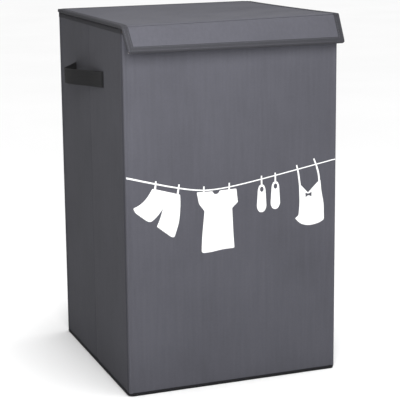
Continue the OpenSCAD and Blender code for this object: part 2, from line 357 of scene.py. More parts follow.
def waves(seed, shortest, longest, count=9):
    """A smooth random surface of about -1 to 1, with ripples between two lengths in millimetres."""
    rng = np.random.RandomState(seed)
    length = np.exp(rng.uniform(math.log(shortest), math.log(longest), count))
    angle, phase = rng.uniform(0, math.pi, count), rng.uniform(0, 2 * math.pi, count)
    size = length / length.sum() * 1.6

    def at(u, v):
        total = 0
        for L, g, p, s in zip(length, angle, phase, size):
            total = total + s * np.sin((u * math.cos(g) + v * math.sin(g)) * 2 * math.pi / L + p)
        return total
    return at


def bell(x, width):
    return np.exp(-(x / width) ** 2)


def steps(a, b, size):
    return np.linspace(a, b, max(2, int(round(abs(b - a) / size)) + 1))


# A wall's own frame: u along the wall, v from its outer face inwards, z up.
WALLS = {
    "front": lambda u, v, z: np.stack([u, -D + v, z], -1),
    "back": lambda u, v, z: np.stack([u, D - v, z], -1),
    "left": lambda u, v, z: np.stack([-W + v, u, z], -1),
    "right": lambda u, v, z: np.stack([W - v, u, z], -1),
}


def wall_sheet(wall, name, us, vo, vi, zs, mat, push=None, keep=None, ui=None):
    """A cloth sheet on a wall: outer depth vo and inner depth vi along us, pushed in by push(u, z)."""
    U, Z = np.meshgrid(us, zs, indexing="ij")
    Ui = U if ui is None else np.meshgrid(ui, zs, indexing="ij")[0]
    Vo = np.meshgrid(vo, zs, indexing="ij")[0]
    Vi = np.meshgrid(vi, zs, indexing="ij")[0]
    if push is not None:
        Vo = Vo + push(U, Z)
    place = WALLS[wall]
    return mesh_object(name, *grid_shell(place(U, Vo, Z), place(Ui, Vi, Z), keep), mat)


def stitches(name, centres, along, out, mat, length=3.0, radius=0.28):
    """A row of short threads: each a small spindle lying along its seam."""
    shells = []
    for c, a, o in zip(np.asarray(centres, float), np.asarray(along, float), np.asarray(out, float)):
        a = a / np.linalg.norm(a)
        o = o / np.linalg.norm(o)
        s = np.cross(a, o)
        ring = [o, s, -o, -s]
        pts = [c - a * length / 2] + [c + radius * r - a * length * 0.28 for r in ring] + \
              [c + radius * r + a * length * 0.28 for r in ring] + [c + a * length / 2]
        f = []
        for k in range(4):
            q = (k + 1) % 4
            f += [(0, 1 + q, 1 + k), (1 + k, 1 + q, 5 + q, 5 + k), (9, 5 + k, 5 + q)]
        shells.append((np.array(pts), f))
    return mesh_object(name, *joined(shells), mat)


# ---- front and back walls ----

front_ripple = waves(3, 60, 240)
front_fine = waves(4, 14, 40)


def front_push(u, z):
    """How far the front cover is pushed in at (u, z): soft waves, dents and small puckers by the seams."""
    edge = W - np.abs(u)
    body = np.clip((edge - 6) / 14, 0, 1) * np.clip((z - WALL_Z0) / 25, 0, 1)
    push = 0.28 * front_ripple(u, z) * body
    push += 0.16 * front_fine(u, z) * bell(edge - 9, 11) * np.clip((edge - 5) / 4, 0, 1)
    for x, h, w, s, k in ((-156, 362, 13, 7, 1.3), (-158, 470, 9, 13, 0.9), (-152, 505, 14, 6, 0.7),
                          (-157, 250, 10, 9, 0.9), (-160, 120, 8, 14, 0.7), (158, 300, 9, 16, 0.8),
                          (156, 455, 10, 12, 0.7)):
        push += k * bell(u - x, w) * bell(z - h, s)
    return push


def back_push(u, z):
    edge = W - np.abs(u)
    return 0.3 * waves(11, 60, 240)(u, z) * np.clip((edge - 6) / 14, 0, 1)


# the cover's edge: turned round the corner, with a piped ridge along the seam
EDGE = [(1.9, 4.5), (0.8, 4.0), (0.0, 2.9), (-0.05, 1.2), (0.5, 0.0), (1.4, -0.7), (2.6, -0.85), (3.9, -0.5),
        (5.4, 0.1), (7.6, 0.5), (10.5, 0.3), (14, 0.0)]


def broad_wall(wall, name, mat, push, node):
    flat = steps(-W + 19, W - 19, 5)
    left = [(-W + a, b) for a, b in EDGE]
    us = np.array([p[0] for p in left] + list(flat) + [-p[0] for p in left[::-1]])
    vo = np.array([p[1] for p in left] + [0] * len(flat) + [p[1] for p in left[::-1]])
    vi = np.clip(vo, COVER_T - 0.05, None)
    vi[2:-2] = COVER_T - 0.05
    vi[0] = vi[-1] = 4.3
    vi[1] = vi[-2] = 3.2
    ui = np.clip(us, -W + 2.2, W - 2.2)
    zs = steps(WALL_Z0 - 0.2, TAPE_Z0 + 1.5, 4)
    o = wall_sheet(wall, name, us, vo, vi, zs, mat, push, ui=ui)
    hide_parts(node)
    return o


front_cover = broad_wall("front", "front_cover_cloth", front_cloth, front_push, "front_cover")
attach(front_cover, "front")
back_cover = broad_wall("back", "back_cover_cloth", side_cloth_painted_shade, back_push, "back_cover")
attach(back_cover, "back")


def lining(wall, name, u0, u1, node, body, seed):
    us, zs = steps(u0, u1, 6), steps(WALL_Z0, TAPE_Z0 + 1, 8)
    w = waves(seed, 40, 160)
    fade = lambda u, z: np.clip((W - 6 - np.abs(u)) / 10, 0, 1)
    o = wall_sheet(wall, name, us, np.full(len(us), WALL_T), np.full(len(us), WALL_T - LINING_T), zs,
                   lining_cloth, lambda u, z: 0.18 * w(u, z) * fade(u, z))
    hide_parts(node)
    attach(o, body)


lining("front", "front_lining_cloth", -W + 1, W - 1, "front_lining", "front", 21)
lining("back", "back_lining_cloth", -W + 1, W - 1, "back_lining", "back", 22)


# rim binding: the tape's section in (v, z), folded over the wall's top edge
def rim_section(proud):
    z0 = TAPE_Z0
    return [(-0.02, z0 - 0.1), (-0.85 * proud, z0 + 0.5), (-proud, z0 + 3), (-0.93 * proud, z0 + 5.5),
            (-0.2 * proud, RIM - 0.9), (0.9, RIM - 0.15), (2.25, RIM), (3.6, RIM - 0.15), (4.6, RIM - 0.9),
            (4.92, z0 + 5.5), (4.95, z0 + 3),
            (4.88, z0 + 0.5), (4.52, z0 - 0.1), (3.85, z0 + 1.0), (3.85, RIM - 0.85), (0.75, RIM - 0.85),
            (0.75, z0 + 1.0)]


def rim(wall, name, u0, u1, us=None):
    us = steps(u0, u1, 5) if us is None else us
    w = waves(31, 18, 60)
    rings = []
    for u in us:
        sec = np.array(rim_section(BACK_RIM_PROUD if wall == "back" else RIM_PROUD))
        lower = np.clip((TAPE_Z0 + 4 - sec[:, 1]) / 4, 0, 1)
        sec[:, 1] += 0.25 * w(u, 0.0) * lower
        rings.append(WALLS[wall](np.full(len(sec), u), sec[:, 0], sec[:, 1]))
    o = mesh_object(name, *tube_shell(rings), rim_tape)
    return o


def rim_stitches(wall, name, u0, u1, body):
    us = np.arange(u0 + 3, u1 - 2, STITCH_PITCH)
    out = {"front": (0, -1, 0), "back": (0, 1, 0), "left": (-1, 0, 0), "right": (1, 0, 0)}[wall]
    along = (1, 0, 0) if wall in ("front", "back") else (0, 1, 0)
    c = WALLS[wall](us, np.full(len(us), -0.42 if wall != "back" else 0.05), np.full(len(us), TAPE_Z0 + 1.8))
    o = stitches(name, c, [along] * len(us), [out] * len(us), thread_dark)
    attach(o, body)


for wall in ("front", "back"):
    o = rim(wall, wall + "_rim_tape", -W - 0.1, W + 0.1)
    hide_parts(wall + "_rim_binding")
    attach(o, wall)
    rim_stitches(wall, wall + "_rim_stitches", -W, W, wall)


def front_depth(u, z):
    """Depth of the front cover's outer surface, ridges included."""
    at, depth = zip(*EDGE[5:])
    return np.interp(W - np.abs(u), at, depth) + front_push(u, z)


# ---- side walls ----

side_end = mm_box("left_rear_cover")[1][1]


def side_push(seed):
    ripple, fine = waves(seed, 50, 220), waves(seed + 1, 12, 34)

    def push(u, z):
        fold = 0.5 * bell(u, 1.5) + 0.45 * bell(u, 11)
        end = side_end - np.abs(u)
        soft = 0.3 * ripple(u, z) * np.clip(end / 12, 0, 1) * np.clip((z - WALL_Z0) / 25, 0, 1)
        pucker = 0.14 * fine(u, z) * bell(end - 4, 9)
        pull = 0.0
        for s in (-1, 1):
            pull = pull + 0.5 * bell(u - s * SLIT, 9) * bell(z - STRAP_Z, 22) * np.cos((z - STRAP_Z) / 5.5)
        return fold + soft + pucker + 0.35 * pull
    return push


def side_columns():
    half = np.unique(np.concatenate([[0, 0.5, 1.0, 1.6, 2.4, 3.6, 6, 9, 13, 18], steps(24, 68, 5.5),
                                     [SLIT - 3, SLIT - 1.1, SLIT + 1.1, SLIT + 3], steps(84, side_end, 5.3)]))
    return np.concatenate([-half[:0:-1], half])


def side_rows(step=4.5):
    lo, hi = STRAP_Z - 13.5, STRAP_Z + 13.5
    return np.concatenate([steps(WALL_Z0 - 0.2, lo, step)[:-1], steps(lo, hi, step),
                           steps(hi, TAPE_Z0 + 1.5, step)[1:]])


def slit_mask(us, zs):
    """True on every cell but those of the two handle slits."""
    keep = np.ones((len(us) - 1, len(zs) - 1), bool)
    for i in range(len(us) - 1):
        for j in range(len(zs) - 1):
            u, z = (us[i] + us[i + 1]) / 2, (zs[j] + zs[j + 1]) / 2
            if abs(abs(u) - SLIT) < 1.0 and abs(z - STRAP_Z) < 13.4:
                keep[i, j] = False
    return keep


def side_wall(side, seed):
    us, zs = side_columns(), side_rows()
    rear, front = side + "_rear", side + "_front"

    def across(o, reach):
        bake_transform(o)

    cover = wall_sheet(side, side + "_side_cloth_painted_shade", us, np.zeros(len(us)), np.full(len(us), COVER_T - 0.05), zs,
                       side_cloth_painted_shade, side_push(seed), slit_mask(us, zs))
    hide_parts(rear + "_cover", front + "_cover", side + "_crease")
    across(cover, 1.6)

    w = waves(seed + 5, 40, 160)
    inner = wall_sheet(side, side + "_lining_cloth", us, np.full(len(us), WALL_T),
                       np.full(len(us), WALL_T - LINING_T), zs, lining_cloth,
                       lambda u, q: 0.15 * w(u, q) * np.clip((side_end - np.abs(u)) / 10, 0, 1),
                       slit_mask(us, zs))
    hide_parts(rear + "_lining", front + "_lining")
    across(inner, 3.5)

    tape = rim(side, side + "_rim_tape", -side_end, side_end,
               np.unique(np.concatenate([steps(-side_end, -6, 5), [-4, -2.5, -1.5, -.7, 0, .7, 1.5, 2.5, 4],
                                         steps(6, side_end, 5)])))
    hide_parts(rear + "_rim_binding", front + "_rim_binding")
    across(tape, 2.0)
    rim_stitches(side, rear + "_rim_stitches", 4, side_end, rear)
    rim_stitches(side, front + "_rim_stitches", -side_end, -4, front)


side_wall("left", 41)
side_wall("right", 51)


# ---- corners ----

# section of a corner seam: c is the distance from the front or back face along the side wall
CORNER_OUT = [(4.6, 2.4), (4.8, 1.0), (5.3, -0.1), (6.1, -0.65), (6.9, -0.4), (7.5, 0.3), (8.1, 0.0),
              (9.0, -0.4), (10.2, -0.5), (11.4, -0.45), (12.4, -0.3), (12.8, -0.04)]
CORNER_IN = [(11.2, 0.0), (10.7, 0.3), (10.65, 4.45), (9.0, 4.5), (7.0, 4.5), (4.55, 4.45)]
CORNER_TOP = [(4.5, -0.2), (5.0, -0.42), (8, -0.45), (11.2, -0.42), (11.5, -0.1), (11.0, 0.3), (10.7, 2.2),
              (11.0, 4.2), (11.3, 4.8), (8, 4.95), (5.0, 4.9), (4.5, 4.6)]


def corner(name, side, end, node, bodies):
    """A sewn corner: end is -1 at the front and 1 at the rear. bodies is (broad wall, side half)."""
    place = WALLS[side]
    w = waves(61, 14, 45)
    rings = []
    for z in steps(WALL_Z0 - 0.1, TAPE_Z0 + 0.6, 4):
        sec = np.array(CORNER_OUT + CORNER_IN)
        n = len(CORNER_OUT)
        sec[1:n - 1, 1] += 0.12 * w(z, 3.0)
        rings.append(place(end * (D - sec[:, 0]), sec[:, 1], np.full(len(sec), z)))
    seam = mesh_object(name + "_seam_cloth", *tube_shell(rings), side_cloth_painted_shade, 60)
    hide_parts(node)
    rings = []
    for z, k in ((TAPE_Z0 - 0.1, 0.6), (TAPE_Z0 + 0.5, 1), (TAPE_Z0 + 4, 1), (RIM - 1.2, 1), (RIM - 0.2, 0.8),
                 (RIM + 0.05, 0.5)):
        sec = np.array(CORNER_TOP)
        mid = np.array([8.0, 2.25])
        sec[:, 1] = mid[1] + (sec[:, 1] - mid[1]) * (0.55 + 0.45 * k)
        rings.append(place(end * (D - sec[:, 0]), sec[:, 1], np.full(len(sec), z)))
    top = mesh_object(name + "_rim_corner", *tube_shell(rings), rim_tape, 60)
    zs = np.arange(WALL_Z0 + 6, TAPE_Z0 - 3, STITCH_PITCH)
    row = place(np.full(len(zs), end * (D - 9.4)), np.full(len(zs), -0.46), zs)
    outward = (-1, 0, 0) if side == "left" else (1, 0, 0)
    sewn = stitches(name + "_seam_stitches", row, [(0, 0, 1)] * len(zs),
                    [outward] * len(zs), thread)
    for o in (seam, top, sewn):
        if bodies[1]:
            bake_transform(o)
        else:
            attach(o, bodies[0])


corner("front_left", "left", -1, "front_left_corner_seam", ("front", "left_front"))
corner("rear_left", "left", 1, "rear_left_corner_seam", ("back", "left_rear"))
corner("rear_right", "right", 1, "rear_right_corner_seam", ("back", "right_rear"))
corner("front_right", "right", -1, "front_right_corner_seam", ("front", None))


# ---- bottom ----

def rounded_path(x0, x1, y0, y1, r, offset, step=6):
    """Points round a rectangle with round corners, moved outwards by offset, with their outward directions."""
    pts = []
    for cx, cy, a0 in ((x1 - r, y1 - r, 0), (x0 + r, y1 - r, 90), (x0 + r, y0 + r, 180), (x1 - r, y0 + r, 270)):
        for a in np.radians(np.linspace(a0, a0 + 90, 9)):
            pts.append((cx + (r + offset) * math.cos(a), cy + (r + offset) * math.sin(a),
                        math.cos(a), math.sin(a)))
    out = []
    for p, q in zip(pts, pts[1:] + pts[:1]):
        p, q = np.array(p), np.array(q)
        n = max(1, int(np.linalg.norm(q[:2] - p[:2]) / step))
        out += [p + (q - p) * k / n for k in range(n)]
    return out


def swept_round(name, box, r, section, mat, wobble=0.0, seed=71):
    w = waves(seed, 20, 70)
    rings = []
    for x, y, nx, ny in rounded_path(*box, r, 0.0):
        k = wobble * w(x, y)
        rings.append(np.array([(x + nx * o, y + ny * o, z + (k if z > 2 else 0)) for o, z in section]))
    return mesh_object(name, *tube_shell(rings, closed=True), mat)


bottom_tape_ring = swept_round(
    "bottom_tape_ring", (bottom_lo[0], bottom_hi[0], bottom_lo[1], bottom_hi[1]), 8,
    [(-6, 0.0), (-0.9, 0.0), (-0.2, 0.4), (0.2, 1.4), (0.3, 2.6), (0.1, 3.8), (-0.3, 4.7),
     (-0.85, 4.95), (-1.6, 4.75), (-6, 4.6)], bottom_tape, 0.12)
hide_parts("bottom_binding")
path = rounded_path(bottom_lo[0], bottom_hi[0], bottom_lo[1], bottom_hi[1], 8, 0.25, STITCH_PITCH)
bottom_stitches = stitches("bottom_stitches", [(p[0] + 0.02 * p[2], p[1] + 0.02 * p[3], 3.1) for p in path],
                           [(-p[3], p[2], 0) for p in path], [(p[2], p[3], 0) for p in path],
                           thread_dark, 2.6, 0.22)
bx, by = bottom_hi[0] - 6, bottom_hi[1] - 6
wx = waves(75, 60, 200)
X, Y = np.meshgrid(steps(-bx, bx, 10), steps(-by, by, 10), indexing="ij")
low = 0.12 + 0.1 * wx(X, Y)
bottom_sheet = mesh_object("bottom_sheet", *grid_shell(np.stack([X, Y, 0 * X + 0.75], -1),
                                                      np.stack([X, Y, low], -1)), side_cloth_painted_shade)
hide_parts("bottom_cloth")
for o in (bottom_tape_ring, bottom_stitches, bottom_sheet):
    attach(o, "back")
    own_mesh(o)


# loose base board in its cloth
b0, b1 = base_lo, base_hi
wb = waves(81, 50, 180)
X, Y = np.meshgrid(steps(b0[0] + 2, b1[0] - 2, 8), steps(b0[1] + 2, b1[1] - 2, 8), indexing="ij")
fade = np.clip(np.minimum(np.minimum(X - b0[0], b1[0] - X), np.minimum(Y - b0[1], b1[1] - Y)) / 20 - 0.1, 0, 1)
top_shell = grid_shell(np.stack([X, Y, b1[2] - 0.05 + 0.3 * fade * (0.6 + 0.4 * wb(X, Y))], -1),
                       np.stack([X, Y, 0 * X + b1[2] - 0.66], -1))
edge = [(0.0, b0[2] + 0.1), (0.05, b0[2] + 1.7), (-0.1, b1[2] - 0.6), (-0.7, b1[2] - 0.05), (-2.4, b1[2]),
        (-2.4, b1[2] - 0.6), (-0.68, b1[2] - 0.72), (-0.66, b0[2] + 0.1)]
rings = [np.array([(x + nx * o, y + ny * o, z) for o, z in edge])
         for x, y, nx, ny in rounded_path(b0[0], b1[0], b0[1], b1[1], 1.0, 0.0)]
base_cloth = mesh_object("base_cloth", *joined([top_shell, tube_shell(rings, closed=True)]), lining_cloth)
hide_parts("base_cover")
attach(base_cloth, "base")


# ---- lid and flap ----

FOLD_R = 2.2
LID_TWIST = math.radians(7.0)        # the left end flares more, the right end less
LID_LIFT = 3.2                       # at the front right corner
LID_TAPE_W = 9.5


def lid_surface(x, s):
    """Outer surface of lid and flap at x, s mm forward of the rear edge: (y, z) and the outward normal."""
    length = LID_BACK - FOLD_Y
    across = (x + LID_X) / (2 * LID_X)
    drop = FLAP_DROP - LID_TWIST + 2 * LID_TWIST * across
    back = FOLD_R * math.tan(drop / 2)
    straight = min(s, length - back)
    forward = np.clip(s / length, 0, 1)
    lift = LID_LIFT * across * forward ** 2 - 1.6 * (1 - across) * max(0.0, 1 - abs(s - length) / 9.0)
    y, z, angle = LID_BACK - straight, LID_TOP, 0.0
    if s > length - back:
        arc = min((s - (length - back)) / FOLD_R, drop)
        y -= FOLD_R * math.sin(arc)
        z -= FOLD_R * (1 - math.cos(arc))
        angle = arc
        rest = s - (length - back) - FOLD_R * drop
        if rest > 0:
            y -= rest * math.cos(drop)
            z -= rest * math.sin(drop)
    return y, z + lift, -math.sin(angle), math.cos(angle)


LID_LEN = LID_BACK - FOLD_Y
LID_S = LID_LEN + FLAP_LEN


def plate_t(s):
    """Thickness of lid or flap at s."""
    return LID_T + (FLAP_T - LID_T) * np.clip((s - LID_LEN + 6) / 10, 0, 1)


def lid_point(x, s, h):
    """A point h above (or below, negative) the lid's and flap's outer surface."""
    y, z, ny, nz = lid_surface(x, s)
    return (x - 1.3 * (x + LID_X) / LID_X, y + ny * h, z + nz * h)


def lid_grid(xs, ss, h):
    """h is a number or a function of (x, s)."""
    f = h if callable(h) else (lambda x, s: h)
    return np.array([[lid_point(x, s, f(x, s)) for s in ss] for x in xs])


def lid_rows(a, b, step=7):
    """Positions from a to b, closer together round the fold."""
    near = [LID_LEN + k for k in (-7, -5.6, -4.6, -3.8, -3.2, -2.6, -2, -1.4, -0.8, -0.2, 0.4, 1, 1.8, 2.8,
                                  4, 6)]
    rows = [a] + [k for k in near if a < k < b] + [b]
    return np.unique(np.concatenate([rows, steps(a, max(a, min(b, LID_LEN - 9)), step),
                                     steps(min(b, max(a, LID_LEN + 9)), b, step)]))


lid_wave = waves(91, 45, 200)


def lid_soft(x, s):
    edge = min(LID_X - abs(x), s, LID_S - s)
    groove = 1.5 * float(bell(s - LID_LEN - 0.9, 1.0))
    return (0.16 * float(lid_wave(x, s)) * min(1.0, max(0.0, (edge - 9) / 12))
            + 0.12 * min(1.0, max(0, edge - 9) / 8) - groove)


xs = steps(-LID_X + 1, LID_X - 1, 6)
rows = lid_rows(1.0, LID_S - 1.0)
lid_cover = mesh_object("lid_and_flap_cloth", *grid_shell(lid_grid(xs, rows, lid_soft),
                        lid_grid(xs, rows, lambda x, s: min(-0.72, lid_soft(x, s) - 0.35))),
                        lid_cloth_painted_shade)
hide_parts("lid_cover", "flap_cover", "flap_fold_strip")
under = mesh_object("lid_and_flap_lining", *grid_shell(lid_grid(xs, rows, lambda x, s: -plate_t(s) + 0.62),
                                                      lid_grid(xs, rows, lambda x, s: -plate_t(s) + 0.03)),
                    lining_cloth)
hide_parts("lid_lining", "flap_lining")
for o in (lid_cover, under):
    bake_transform(o)

# the boards follow the lid's slight twist
for name, s0, s1, body in (("lid_stiff_board", 1.2, LID_LEN - 5.0, "lid"),
                           ("flap_stiff_board", LID_LEN + 4.0, LID_S - 1.2, "flap")):
    bx = steps(-LID_X + 1.2, LID_X - 1.2, 20)
    bs = steps(s0, s1, 15)
    o = mesh_object(name, *grid_shell(lid_grid(bx, bs, -0.82),
                                      lid_grid(bx, bs, lambda x, s: -plate_t(s) + 0.7)), board_stuff)
    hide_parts(body + "_board")
    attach(o, body)


def tape_top(s):
    """Height of the binding above the cloth: pressed flat by the hinge."""
    return 0.55 * float(np.clip((s - 2) / 14, 0.06, 1))


def lid_tape_section(s, width=LID_TAPE_W):
    """Binding folded round the edge: (distance in from the edge, height)."""
    t, k = plate_t(s), tape_top(s) / 0.55
    return [(width, 0.1 * k), (width - 0.5, 0.5 * k), (width - 2.5, 0.58 * k), (4.5, 0.52 * k), (2.0, 0.5 * k),
            (0.8, 0.3 * k), (0.05, -0.3),
            (-0.25, -1.2), (-0.3, -t / 2), (-0.25, -t + 1.2), (0.05, -t + 0.35), (0.8, -t + 0.02), (2.0, -t),
            (width - 2.5, -t), (width - 0.5, -t), (width, -t + 0.25), (1.0, -t + 0.35),
            (0.9, -0.25), (width - 0.6, 0.02)]


def lid_loop():
    """Corners and straights round the lid and flap: (x, s, inward dx, inward ds)."""
    a, b = -LID_X + 0.3, LID_X - 0.3
    side = lid_rows(0.3, LID_S - 0.3, 6)
    across = steps(a, b, 6)
    side, across = side[(side > 10) & (side < LID_S - 10)], across[(across > a + 10) & (across < b - 10)]

    def turn(x, s, first, last):
        """A rounded corner: rings fan out from the binding's inner corner."""
        ix, js = (1 if x < 0 else -1), (1 if s < 1 else -1)
        cx, cs = x + ix * LID_TAPE_W, s + js * LID_TAPE_W
        out = []
        for g in np.radians(np.linspace(first, last, 7)):
            px, ps = x + ix * 4 + 4 * math.cos(g), s + js * 4 + 4 * math.sin(g)
            out.append((px, ps, (cx - px) / LID_TAPE_W, (cs - ps) / LID_TAPE_W))
        return out

    loop = [(a, s, 1, 0) for s in side] + turn(a, LID_S - 0.3, 180, 90)
    loop += [(x, LID_S - 0.3, 0, -1) for x in across] + turn(b, LID_S - 0.3, 90, 0)
    loop += [(b, s, -1, 0) for s in side[::-1]] + turn(b, 0.3, 0, -90)
    loop += [(x, 0.3, 0, 1) for x in across[::-1]] + turn(a, 0.3, -90, -180)
    return loop


wt = waves(95, 15, 50)
rings = []
for x, s, dx, ds in lid_loop():
    sec = lid_tape_section(s)
    wobble = 0.18 * float(wt(x, s))
    rings.append(np.array([lid_point(x + dx * (d + (wobble if d > 7 else 0)),
                                     s + ds * (d + (wobble if d > 7 else 0)), h) for d, h in sec]))
lid_tape = mesh_object("lid_and_flap_tape", *tube_shell(rings, closed=True), flap_tape, 60)
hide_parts("lid_binding", "flap_binding")
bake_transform(lid_tape)


def lid_stitch_rows(name, inset, body, s_from, s_to):
    """Stitches on the binding's top leg: along both sides, and along the bound end."""
    spots = []
    for x in (-LID_X + inset, LID_X - inset):
        for s in np.arange(s_from, s_to, STITCH_PITCH):
            spots.append((x, s, 0, 1))
    if body == "flap":
        for x in np.arange(-LID_X + inset, LID_X - inset, STITCH_PITCH):
            spots.append((x, LID_S - inset, 1, 0))
    c, a, n = [], [], []
    for x, s, dx, ds in spots:
        h = tape_top(s) + 0.01
        p = np.array(lid_point(x, s, h))
        c.append(p)
        a.append(np.array(lid_point(x + dx, s + ds, h)) - p)
        y, z, ny, nz = lid_surface(x, s)
        n.append((0, ny, nz))
    o = stitches(name, c, a, n, thread, 3.0, 0.34)
    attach(o, body)


for k, inset in enumerate((2.4, 7.6)):
    lid_stitch_rows(f"flap_stitches_{k}", inset, "flap", LID_LEN + 8, LID_S - inset)
    lid_stitch_rows(f"lid_stitches_{k}", inset, "lid", 14, LID_LEN - 8)

# cloth hinge along the rear edge, with a bead on the hinge line
hx = mm_box("lid_hinge_strip")[1][0]
us, zs = steps(-hx, hx, 8), steps(TAPE_Z0, LID_TOP - 1.2, 2.5)
U, Z = np.meshgrid(us, zs, indexing="ij")
hinge_sheet = grid_shell(np.stack([U, 0 * U + D + 0.24 + 0.02 * waves(97, 10, 40)(U, Z), Z], -1),
                         np.stack([U, 0 * U + D + 0.02, Z], -1))
pivot = np.array(JOINTS["lid_hinge"]["pos_m"]) * 1000
bead = [np.array([(u, pivot[1] + 0.75 * math.cos(a), pivot[2] - 0.6 + 0.75 * math.sin(a))
                  for a in np.linspace(0, 2 * math.pi, 9)[:-1]]) for u in us]
lid_hinge = mesh_object("lid_hinge_cloth", *joined([hinge_sheet, tube_shell(bead)]), rim_tape)
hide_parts("lid_hinge_strip")
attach(lid_hinge, "back")


# ---- handles ----

# the bow seen from above: (distance along the wall, distance out from it, drop)
BOW = [(-75.2, -3.0, 0.0), (-75.2, 0.0, 0.0), (-72.6, 1.5, 0.1), (-64, 2.6, 0.6), (-50, 4.8, 1.4),
       (-36, 7.6, 2.2), (-16, 12.6, 3.2), (0, 16.6, 4.2), (20, 21.0, 5.2), (38, 23.7, 6.2),
       (52, 24.6, 6.8), (60, 23.8, 6.9), (65.5, 20.0, 6.4), (69.5, 13.0, 4.8),
       (73.2, 5.2, 2.4), (75.2, 0.0, 1.0), (75.2, -3.0, 0.6)]


def spline(points, per=6):
    """A smooth curve through the points."""
    p = np.array(points, float)
    p = np.concatenate([[2 * p[0] - p[1]], p, [2 * p[-1] - p[-2]]])
    out = []
    for i in range(1, len(p) - 2):
        a, b, c, d = p[i - 1:i + 3]
        for t in np.linspace(0, 1, per, endpoint=False):
            out.append(0.5 * ((2 * b) + (c - a) * t + (2 * a - 5 * b + 4 * c - d) * t * t
                              + (3 * b - a - 3 * c + d) * t ** 3))
    out.append(p[-2])
    return np.array(out)


STRAP_W, STRAP_T = 25.0, 1.6


def strap_section():
    """(across the webbing, through it): thin rounded edges and three shallow lengthwise ribs."""
    half, t = STRAP_W / 2, STRAP_T / 2
    zs = np.linspace(-half + 0.6, half - 0.6, 17)
    face = [(z, t + 0.14 * math.cos(z * 2 * math.pi / 6.2)) for z in zs]
    return ([(-half, 0.25)] + face + [(half, 0.25), (half, -0.25)]
            + [(z, -b) for z, b in face[::-1]] + [(-half, -0.25)])


def handle(side):
    curve = spline(BOW)
    tangent = np.gradient(curve[:, :2], axis=0)
    tangent /= np.linalg.norm(tangent, axis=1)[:, None]
    normal = np.stack([-tangent[:, 1], tangent[:, 0]], 1)            # (along, out) turned outwards
    for body, pick in ((side + "_front", curve[:, 0] <= 1e-6), (side + "_rear", curve[:, 0] >= -1e-6)):
        rings = []
        for (u, out, drop), (nu, nv) in zip(curve[pick], normal[pick]):
            sag = 0.10 * drop
            rings.append(np.array([WALLS[side](u + nu * b, -(out + nv * b) - sag * a / STRAP_W,
                                               STRAP_Z - drop + a)
                                   for a, b in strap_section()]))
        o = mesh_object(body + "_handle_webbing", *tube_shell(rings), webbing, 50)
        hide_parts(side + "_handle")
        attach(o, body)
        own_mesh(o)
        s = -1 if body.endswith("front") else 1
        line = [(s * SLIT, 2.0), (s * SLIT, 4.6), (s * (SLIT + 1.0), 5.6), (s * (SLIT + 3), 6.0),
                (s * (SLIT + 22), 5.9)]
        rings = []
        for k, (u, v) in enumerate(line):
            flat = k > 1
            rings.append(np.array([WALLS[side](u + (0 if flat else -b * s * 0.8), v + (b * 0.8 if flat else 0),
                                               STRAP_Z + a)
                                   for a, b in strap_section()]))
        tail = mesh_object(body + "_handle_tail", *tube_shell(rings), webbing, 50)
        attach(tail, body)
        inward = (1, 0, 0) if side == "left" else (-1, 0, 0)
        c, a = [], []
        for k in np.linspace(-9.5, 9.5, 8):
            for u in (5.5, 20.0):
                c.append(WALLS[side](s * (SLIT + u), 6.75, STRAP_Z + k))
                a.append((0, 0, 1))
        for k in np.linspace(6.5, 19, 5):
            for z in (-10.5, 10.5):
                c.append(WALLS[side](s * (SLIT + k), 6.75, STRAP_Z + z))
                a.append((0, 1, 0))
        sewn = stitches(body + "_tail_stitches", c, a, [inward] * len(c), thread, 2.2, 0.25)
        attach(sewn, body)


handle("left")
handle("right")


# ---- printed motif ----
# Outline points are millimetres on the panel: read by eye from the photograph, projected onto the panel's
# plane with the fitted camera by a scratch script, then thinned, rounded and adjusted.

def rounded(points, r=1.2, n=4):
    """The outline with each corner rounded. A point is (x, z) or (x, z, its own radius)."""
    p = [np.array(q[:2], float) for q in points]
    own = [q[2] if len(q) > 2 else r for q in points]
    out = []
    for i, q in enumerate(p):
        a, b = p[i - 1] - q, p[(i + 1) % len(p)] - q
        k = min(own[i], 0.49 * np.linalg.norm(a), 0.49 * np.linalg.norm(b))
        a, b = q + a / np.linalg.norm(a) * k, q + b / np.linalg.norm(b) * k
        out += [(1 - t) ** 2 * a + 2 * t * (1 - t) * q + t * t * b for t in np.linspace(0, 1, n)]
    return np.array(out)


def inside(points, loop):
    x, y = points[:, 0], points[:, 1]
    hit = np.zeros(len(points), bool)
    for (x0, y0), (x1, y1) in zip(loop, np.roll(loop, -1, axis=0)):
        cross = (y0 > y) != (y1 > y)
        if abs(y1 - y0) > 1e-9:
            hit ^= cross & (x < (x1 - x0) * (y - y0) / (y1 - y0) + x0)
    return hit


def settled(loop):
    """Moved a little left, more so at the left, as in the photograph, and kept on the panel."""
    loop = np.array(loop, float)
    loop[:, 0] = np.clip(loop[:, 0] - 1.5 + 0.005 * loop[:, 0], -W + 1.5, W - 1.5)
    return loop


